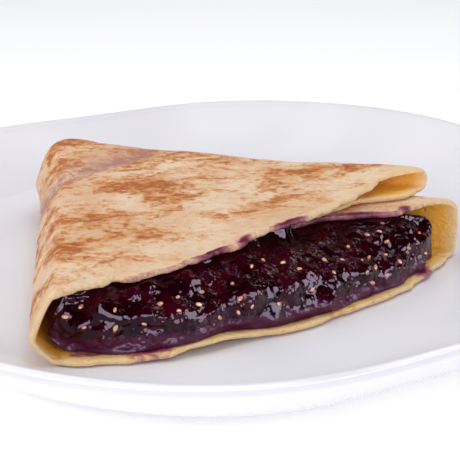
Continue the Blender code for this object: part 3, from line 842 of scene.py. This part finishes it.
def pancake():
    """Batter fried in streaky patches outside, yolk yellow inside with a painted glow away from the lips,
    and soaked stains of juice.
    """
    material, graph, shader, place = new_finish("browned pancake")
    to_lip, side, stain, crease_band_and_edge_shade = [attribute(graph, name) for name in SHEET_MARKS[:4]]
    streaky = graph.node("ShaderNodeVectorMath", {"operation": "MULTIPLY"}, {0: place, 1: STREAK})["Vector"]
    cloud = graph.noise(place, 24.0, 3.0, 0.55)
    grain = graph.noise(place, 1.3, 3.0, 0.6)
    patch = graph.noise(streaky, 10.0, 3.0, 0.6, 0.6)
    freckle = graph.noise(streaky, 1.9, 4.0, 0.66, 0.6)
    values = {"Vector": place, "Scale": 0.16}
    pore = graph.node("ShaderNodeTexVoronoi", {"feature": "F1"}, values)["Distance"]
    pore = 1.0 - graph.step(pore, 0.04, 0.11)
    away = graph.step(to_lip, 2.5, 16.0)
    heat = patch * 0.62 + freckle * 0.48 + grain * 0.2 + away * 0.06 - 0.1
    fried = graph.step(heat, 0.56, 0.67)
    dark = graph.step(heat, 0.63, 0.74)
    mottle = graph.step(graph.noise(streaky, 1.7, 3.0, 0.7) + (patch - 0.5) * 0.6, 0.4, 0.64)

    pale = 1.0 - graph.step(to_lip, 0.3, 2.2)
    # Mauve band at the crease and painted shade at the back edge, broken up by noise
    broken_band_and_edge_shade = crease_band_and_edge_shade * graph.step(freckle + cloud, 0.7, 1.1)
    outside = graph.mix(graph.step(cloud, 0.35, 0.65), BATTER, BATTER_SHADE)
    for share, over in ((mottle * 0.5, MOTTLE), (fried * 0.85, GOLDEN), (dark * 0.8, BROWNED),
                        (broken_band_and_edge_shade, MAUVE_BAND_AND_EDGE_SHADE), (pore * 0.5, PORE), (pale * 0.7, LIP_CUT)):
        outside = graph.mix(share, outside, over)
    crease = graph.step(freckle * 0.6 + patch * 0.5, 0.56, 0.7)
    # Pale at the inner lip, then yolk yellow deepened by a painted glow further into the folds
    inside = graph.mix(graph.step(to_lip, 0.0, 3.5), INNER_LIP, YOLK_AND_FOLD_GLOW)
    inside = graph.mix(crease * 0.6, inside, YOLK_CREASE)
    soaked = stain + (freckle - 0.5) * 0.9 + (grain - 0.5) * 0.5
    colour = graph.mix(graph.step(side, 0.25, 0.75), outside, inside)
    colour = graph.mix(graph.step(soaked, 0.15, 0.6) * 0.8, colour, JUICE_EDGE)
    colour = graph.mix(graph.step(soaked, 0.42, 0.95), colour, JUICE)
    relief = grain * 0.7 + freckle * 1.1 - fried * 0.25 - pore * 0.8
    graph.fill(shader, {"Base Color": colour,
                        "Roughness": 0.66 - fried * 0.12 - graph.step(soaked, 0.4, 0.7) * 0.25,
                        "Subsurface Weight": 0.25,
                        "Subsurface Radius": (1.0, 0.6, 0.25),
                        "Subsurface Scale": 1.5 * MM,
                        "Specular IOR Level": 0.35,
                        "Normal": bump(graph, relief, 0.6)})
    return material


outer, outer_marks = sheet_face(OUTER)
inner, inner_marks = sheet_face(INNER)
lip, lip_marks = rounded_lip(outer, outer_marks, inner, inner_marks)
crepe_marks = {}
for i, name in enumerate(SHEET_MARKS):
    crepe_marks[name] = [marks[..., i] for marks in (outer_marks, inner_marks, lip_marks)]
crepe = new_piece("crepe_sheet", [settle(outer), settle(inner), lip], crepe_marks, sharp=50)
crepe_sizes = {"Wave height": SHEET_WAVE * MM, "Blister height": SHEET_BLISTER * MM}
through_nodes(crepe, "crepe surface", crepe_sizes, pancake(), uneven)
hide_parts("crepe")
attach(crepe, "root")

# Jam. Dark berries cooked down with sugar: a wet, glossy filling that runs through the whole wedge and
# swells from its open front in lumps and slow folds, with a thin lighter film along its foot.

# The filling inside the sheet: its gap at the sides, its turned right edge, and its shifted and sunk corner
JAM_SIDE = 2.6
JAM_TURN = 3.0
JAM_CORNER_HEADING = -105.0
JAM_CORNER_SHIFT = 3.5
JAM_SINK = 3.5
# How far the jam stands behind the lips: at its left start, at its upper edge, at its foot, at its right end
JAM_START = 4.4
JAM_BACK = 1.4
FOOT_BACK = 0.5
JAM_END = 4.5
# Waves of the foot: their depth, the run in which they start, and pace and start left and right of the fold
FOOT_WAVE = 1.3
FOOT_RUN = 0.1
FOOT_PACE = (13.0, 0.4)
SIDE_PACE = (9.0, 13.4)
# The seam where the jam passes the hidden fold: its width at the foot, its columns, and its reach in degrees
SEAM_FOOT = 0.036
SEAM_SHARES = np.array([[0.25], [0.5], [0.75]])
SEAM_STEPS = 3
SEAM_TURN = 13.0
# The front, in shares of its rise from foot to lip: its fullness forwards and upwards, where it meets the
# lip, its lumps by depth, width in degrees and slant, and its groove and bulge by place and width
FRONT_ROWS = 76
FRONT_FULL = (0.8, 0.9)
FRONT_LIP = (0.9, 0.98)
FRONT_END = 6.0
LUMPS = ((0.54, 2.3, 2.5), (0.3, 1.1, -3.0))
GROOVE = 1.1
GROOVE_PLACE = (0.62, 0.13)
BULGE = 0.9
BULGE_PLACE = (0.3, 0.2)
PUSH_UP = 0.25
JAM_DROP = 1.5
DROP_RUN = (0.6, 0.8)
JAM_LANES = (210, 0.35)
JAM_SIDE_LANES = (150, 0.35)
JAM_ROWS = (0, 0.86, 14)
JAM_LIP_ROWS = (0.89, 1, 7)
FREE_RISE = (0.08, 0.94)
FREE_SPAN = (0.03, 0.98)
FILM_RISE = 0.16
SEEDED_RISE = (0.12, 0.72)
SEEDED_SPAN = (0.03, 0.96)
BERRY_HEIGHT = 3.2
PEBBLE_HEIGHT = 1.2
JAM_DEEP = tint(28, 0, 6)
JAM_CLEAR = tint(58, 2, 18)
JAM_FILM = tint(74, 14, 48)
JAM_SHINE = (0.95, 0.78, 1.0, 1.0)

jam_corner = FILLING_CORNER + unit(JAM_CORNER_HEADING) * JAM_CORNER_SHIFT
FILLING = Wedge(SHEET + JAM_SIDE, SHEET + GAP, jam_corner, JAM_SINK, JAM_TURN)


def with_height(plan, layer):
    z = height(plan, FILLING, layer)
    z[0] = FILLING.middle(plan[0], "up")[0]
    return np.concatenate([plan, z[..., None]], -1)


def jam_edges(rows, lanes, side_lanes):
    """Lower and upper lanes of the filling, matched column by column."""
    split = (FOLD_HEADING - LEFT) / (RIGHT_LOW - LEFT)
    share = (FOLD_HEADING - LEFT) / (RIGHT_UP - LEFT)
    way = FILLING.ends["low"] - FILLING.corner
    right_end = FILLING.ends["low"] - way * (JAM_END / np.linalg.norm(way))
    wave = FOOT_WAVE * np.sin(FOOT_PACE[0] * lanes + FOOT_PACE[1]) ** 2 * ease(lanes, 0, FOOT_RUN)
    side_wave = FOOT_WAVE * np.sin(SIDE_PACE[0] * side_lanes + SIDE_PACE[1]) ** 2
    start = (1 - lanes) ** 6
    foot_back = FOOT_BACK + (JAM_START - FOOT_BACK) * start + wave
    top_back = JAM_BACK + (JAM_START - JAM_BACK) * start
    foot_left = lip_point("bottom", lanes * (split - SEAM_FOOT), foot_back)
    foot_right = lip_point("bottom", split + side_lanes * (1 - split), FOOT_BACK + side_wave)
    top_left = lip_point("top", lanes * share, top_back)
    top_right = lip_point("under", side_lanes, JAM_BACK)
    top_left += (top_right[0] - top_left[-1]) * (lanes**3)[:, None]
    for edge in (foot_left, top_left):
        edge += LEFT_IN * FILLING.inset * ((1 - lanes) ** 3)[:, None]
    for edge, power in ((foot_right, 3), (top_right, 2)):
        edge += (right_end - edge[-1]) * (side_lanes**power)[:, None]

    rear = FILLING.start(lanes)
    corner = np.repeat(FILLING.corner[None], len(side_lanes), 0)
    foot_seam = foot_left[-1] + (foot_right[0] - foot_left[-1]) * SEAM_SHARES
    low_left = spread(rear, foot_left, rows)
    low_seam = spread(corner[:len(foot_seam)], foot_seam, rows)
    low_right = spread(corner, foot_right, rows)
    up_left = spread(rear, top_left, rows)
    up_right = spread(corner, top_right, rows)

    seam = up_right[:, 0]
    seam_under = height(seam, INNER, "under")
    seam_over = height(seam, INNER, "over")
    radius = (seam_over - seam_under) / 2 + GAP
    radius[0] = 0
    up_left = up_left - FOLD_SIDE * (radius[:, None] * lanes[None, :] ** 3)[..., None]
    low = [with_height(part, "bottom") for part in (low_left, low_seam, low_right)]
    high = [with_height(up_left, "top")]
    for step in range(SEAM_STEPS, 0, -1):
        angle = math.pi / 2 * step / SEAM_STEPS
        plan = seam - FOLD_SIDE * (radius * math.sin(angle))[:, None]
        level = (seam_under + seam_over) / 2 - radius * math.cos(angle)
        level[0] = FILLING.middle(seam[:1], "up")[0][0]
        high.append(np.concatenate([plan, level[:, None]], -1)[:, None])
    high.append(with_height(up_right, "under"))
    return np.concatenate(low, 1), np.concatenate(high, 1)


def jam_front(foot, edge):
    """Swelling front of the filling, in rows from its foot up to the lip of the pancake."""
    heading = heading_of(foot)
    outwards = foot[:, :2] / reach_of(foot)[:, None]
    ends = ease(reach_of(edge - foot), 0, FRONT_END)
    seam = hump(heading, FOLD_HEADING, SEAM_TURN) * ends
    lowest = edge[np.argmin(np.abs(heading - FOLD_HEADING)), 2]
    sunk = edge.copy()
    sunk[:, 2] += (lowest - edge[:, 2]) * seam
    rows = []
    for rise in np.arange(1, FRONT_ROWS) / FRONT_ROWS:
        turn = rise * math.pi / 2
        lip = sunk + (edge - sunk) * ease(rise, *FRONT_LIP)
        point = foot.copy()
        point[:, :2] = lip[:, :2] + (foot[:, :2] - lip[:, :2]) * math.cos(turn) ** FRONT_FULL[0]
        point[:, 2] = foot[:, 2] + (lip[:, 2] - foot[:, 2]) * math.sin(turn) ** FRONT_FULL[1]
        swell = sum(depth * np.sin(heading / width + climb * rise) for depth, width, climb in LUMPS)
        swell += BULGE * hump(rise, *BULGE_PLACE) - GROOVE * hump(rise, *GROOVE_PLACE)
        push = math.sin(rise * math.pi) * swell * ends
        point[:, :2] += outwards * push[:, None]
        drop = JAM_DROP * math.sqrt(1 - rise) * ease(rise, *DROP_RUN)
        point[:, 2] += push * PUSH_UP - drop * ends
        rows.append(point)
    return np.stack(rows)


def cells(graph, place, scale, softness):
    """Soft distance to the nearest of many scattered middles, as between berries pressed together."""
    values = {"Vector": place, "Scale": scale, "Smoothness": softness, "Randomness": 1.0}
    return graph.node("ShaderNodeTexVoronoi", {"feature": "SMOOTH_F1"}, values)["Distance"]


def lumpy(graph, sizes):
    """Raises the front in smooth berry lumps, with pebbles of pulp over them."""
    place = point_place(graph)
    heap = graph.noise(place, 10.0, 1.0) - 0.5
    berry = 0.45 - cells(graph, place, 0.15, 0.6)
    pebble = 0.4 - cells(graph, place, 0.42, 0.35)
    rough = graph.step(graph.noise(place, 6.0, 1.0), 0.42, 0.62)
    berries = (heap * 1.2 + berry) * sizes["Berry height"]
    pebbles = pebble * (rough * 0.6 + 0.4) * sizes["Pebble height"]
    return push_out(graph, sizes, berries + pebbles)


def berry_jam():
    """Wet jam, nearly black where it is deep, with a duller lilac film at its foot."""
    material, graph, shader, place = new_finish("dark berry jam")
    cloud = graph.noise(place, 7.0, 3.0, 0.6)
    fine = graph.noise(place, 0.9, 3.0, 0.6)
    film = graph.step(attribute(graph, "foot") + (cloud - 0.5) * 0.5, 0.35, 0.8)
    depths = graph.mix(graph.step(cloud, 0.4, 0.66), JAM_DEEP, JAM_CLEAR)
    pulp = 0.5 - cells(graph, place, 0.9, 0.6)
    graph.fill(shader, {"Base Color": graph.mix(film, depths, JAM_FILM),
                        "Roughness": 0.08 + fine * 0.06 + film * 0.2,
                        "IOR": 1.45,
                        "Specular IOR Level": 0.36,
                        "Specular Tint": JAM_SHINE,
                        "Normal": bump(graph, pulp * graph.step(cloud, 0.4, 0.6), 0.25)})
    return material


def between(x, low, high):
    return (x > low) & (x < high)


depth_rows = np.concatenate([np.linspace(*JAM_ROWS), np.linspace(*JAM_LIP_ROWS)])
low, high = jam_edges(depth_rows, close_ends(*JAM_LANES), close_ends(*JAM_SIDE_LANES))
front = jam_front(low[-1], high[-1])
jam_grid = np.concatenate([low, front, high[::-1]])
row_rise = np.clip((np.arange(len(jam_grid)) - len(low) + 1) / FRONT_ROWS, 0, 1)[:, None]
across = np.linspace(0, 1, jam_grid.shape[1])[None]
free = ease(row_rise, 0, FREE_RISE[0]) * ease(row_rise, 1, FREE_RISE[1])
free = free * ease(across, 0, FREE_SPAN[0]) * ease(across, 1, FREE_SPAN[1])
foot = hump(row_rise, 0, FILM_RISE) * np.ones_like(across)
seeded = between(row_rise, *SEEDED_RISE) & between(across, *SEEDED_SPAN)
jam_marks = {"free": [free], "foot": [foot], "seeded": [seeded.astype(float)]}
jam = new_piece("jam_filling", [settle(jam_grid)], jam_marks, sharp=80)
jam_sizes = {"Berry height": BERRY_HEIGHT * MM, "Pebble height": PEBBLE_HEIGHT * MM}
through_nodes(jam, "jam surface", jam_sizes, berry_jam(), lumpy)
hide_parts("jam")
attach(jam, "root")

# Seeds. Small oval berry seeds, pinkish tan and a little glossy, that float half sunk in the front of the
# jam and lie as they fell. Each is a small ball, drawn out to an oval and laid on the jam by its own draw.

SEED_SIZE = (0.74, 0.46, 0.42)
SEED_SCALE = (0.8, 1.2)
SEED_APART = 3.1
SEED_DENSITY = 40000.0
SEED_DRAW = 11
SEED_TURN_DRAW = 3
SEED_SCALE_DRAW = 5
SEED_SEGMENTS = 14
SEED_RINGS = 9
SEED_TILT = 0.5
SEED_TURN = 6.28
SEED_PALE = tint(246, 196, 160)
SEED_TAN = tint(206, 124, 96)


def strew(graph, sizes):
    """Lays seeds over the marked front of the jam, each turned and sized by its own draw."""
    values = {"Mesh": sizes["Geometry"], "Distance Min": sizes["Apart"], "Density Max": sizes["Density"],
              "Density Factor": point_mark(graph, "seeded"), "Seed": sizes["Draw"]}
    spots = graph.node("GeometryNodeDistributePointsOnFaces", {"distribute_method": "POISSON"}, values)
    values = {"Segments": SEED_SEGMENTS, "Rings": SEED_RINGS, "Radius": 1.0}
    ball = graph.node("GeometryNodeMeshUVSphere", {}, values)["Mesh"]
    values = {"X": sizes["Length"], "Y": sizes["Width"], "Z": sizes["Thickness"]}
    stretch = graph.node("ShaderNodeCombineXYZ", {}, values)["Vector"]
    seed = graph.node("GeometryNodeTransform", {}, {"Geometry": ball, "Scale": stretch})["Geometry"]
    values = {"Min": (-SEED_TILT, -SEED_TILT, 0.0), "Max": (SEED_TILT, SEED_TILT, SEED_TURN),
              "Seed": SEED_TURN_DRAW}
    turn = graph.node("FunctionNodeRandomValue", {"data_type": "FLOAT_VECTOR"}, values)["Value"]
    own_turn = graph.node("FunctionNodeEulerToRotation", {}, {"Euler": turn})["Rotation"]
    values = {"Rotation": spots["Rotation"], "Rotate By": own_turn}
    laid = graph.node("FunctionNodeRotateRotation", {"rotation_space": "LOCAL"}, values)["Rotation"]
    values = {"Min_001": SEED_SCALE[0], "Max_001": SEED_SCALE[1], "Seed": SEED_SCALE_DRAW}
    scale = graph.node("FunctionNodeRandomValue", {"data_type": "FLOAT"}, values)["Value_001"]
    values = {"Points": spots["Points"], "Instance": seed, "Rotation": laid, "Scale": scale}
    return graph.node("GeometryNodeInstanceOnPoints", {}, values)["Instances"]


def seed_skin():
    material, graph, shader, place = new_finish("berry seed")
    speck = graph.noise(place, 1.6, 2.0)
    colour = graph.mix(graph.step(speck, 0.35, 0.65), SEED_PALE, SEED_TAN)
    graph.fill(shader, {"Base Color": colour,
                        "Roughness": 0.25 + speck * 0.1,
                        "Coat Weight": 0.5,
                        "Normal": bump(graph, graph.noise(place, 0.25, 1.0), 0.03)})
    return material


seeds = bpy.data.objects.new("jam_seeds", jam.data.copy())
bpy.context.scene.collection.objects.link(seeds)
seed_sizes = {"Apart": SEED_APART * MM, "Density": SEED_DENSITY, "Draw": SEED_DRAW,
              "Length": SEED_SIZE[0] * MM, "Width": SEED_SIZE[1] * MM, "Thickness": SEED_SIZE[2] * MM}
through_nodes(seeds, "strewn seeds", seed_sizes, seed_skin(), strew)
seeds.data.shade_smooth()
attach(seeds, "root")

# Table and light. A pale sweep under soft studio light: a bright surround, broad lights from above, in
# front and at the left, and four panels that only glossy surfaces such as the wet jam mirror. The camera
# stands low in front of the open side.

SWEEP_REACH = 3000.0
SWEEP_WHITE = tint(246, 246, 247)
SWEEP_GLOW = 0.25
SURROUND = (0.97, 0.98, 1.0, 1.0)
SURROUND_STRENGTH = 0.54
# Name, spot, width and height, and watts: the panels are only mirrored, and the lights only light
PANEL_AIM = (0, 0, 20)
PANEL_COLOUR = (0.94, 0.95, 1.0)
PANELS = (("front glow", (40, -640, 230), (600, 400), 6.8),
          ("right glow", (560, -210, 230), (420, 400), 4.8),
          ("top glow", (160, 170, 620), (300, 60), 0.12),
          ("back glow", (300, 390, 430), (340, 120), 0.25))
LIGHT_AIM = (0, 0, 10)
LIGHT_COLOUR = (1.0, 1.0, 1.0)
LIGHTS = (("front light", (150, -640, 260), (500, 360), 0.75),
          ("left light", (-560, -240, 330), (360, 360), 1.5),
          ("back light", (60, 180, 700), (560, 560), 1.75))
CAMERA_AIM = (-2.4, 7.0, 5.3)
CAMERA_AWAY = 345.0
CAMERA_RISE = 20.0
LENS = 92.6
SENSOR = 36.0
SHIFT = 0.0141
NEAREST = 10.0


def sweep_paint():
    material, graph, shader, _ = new_finish("pale sweep")
    graph.fill(shader, {"Base Color": SWEEP_WHITE,
                        "Roughness": 0.6,
                        "Emission Color": (1.0, 1.0, 1.0, 1.0),
                        "Emission Strength": SWEEP_GLOW})
    return material


def look_along(way):
    """Turn that points an object's -Z along a way, with its top up."""
    flat = math.hypot(way[0], way[1])
    return Euler((math.pi / 2 + math.atan2(way[2], flat), 0, math.atan2(-way[0], way[1])))


def new_light(name, spot, size, watts, aim, colour):
    """Area light of a width and a height at a spot, turned to an aim, all in millimetres."""
    light = bpy.data.lights.new(name, "AREA")
    light.shape = "RECTANGLE"
    light.size = size[0] * MM
    light.size_y = size[1] * MM
    light.energy = watts
    light.color = colour
    lamp = bpy.data.objects.new(name, light)
    lamp.location = [value * MM for value in spot]
    lamp.rotation_euler = look_along(np.array(aim, float) - np.array(spot, float))
    bpy.context.scene.collection.objects.link(lamp)
    return lamp


floor_data = bpy.data.meshes.new("sweep")
reach = SWEEP_REACH * MM
floor_data.from_pydata([(-reach, -reach, 0), (reach, -reach, 0), (reach, reach, 0), (-reach, reach, 0)], [],
                       [(0, 1, 2, 3)])
floor_data.materials.append(sweep_paint())
floor = bpy.data.objects.new("sweep", floor_data)
bpy.context.scene.collection.objects.link(floor)

world = bpy.data.worlds.new("surround")
world.use_nodes = True
world.node_tree.nodes["Background"].inputs["Color"].default_value = SURROUND
world.node_tree.nodes["Background"].inputs["Strength"].default_value = SURROUND_STRENGTH
world.cycles_visibility.glossy = False
bpy.context.scene.world = world
for panel in PANELS:
    new_light(*panel, PANEL_AIM, PANEL_COLOUR).visible_diffuse = False
for light in LIGHTS:
    new_light(*light, LIGHT_AIM, LIGHT_COLOUR).visible_glossy = False

camera_data = bpy.data.cameras.new("camera")
camera_data.lens = LENS
camera_data.sensor_width = SENSOR
camera_data.shift_y = SHIFT
camera_data.clip_start = NEAREST * MM
camera = bpy.data.objects.new("camera", camera_data)
tilt = math.radians(CAMERA_RISE)
away = np.array((0.0, -math.cos(tilt), math.sin(tilt))) * CAMERA_AWAY
camera.location = [value * MM for value in np.array(CAMERA_AIM) + away]
camera.rotation_euler = look_along(-away)
bpy.context.scene.collection.objects.link(camera)
bpy.context.scene.camera = camera
bpy.context.scene.view_settings.view_transform = "Standard"
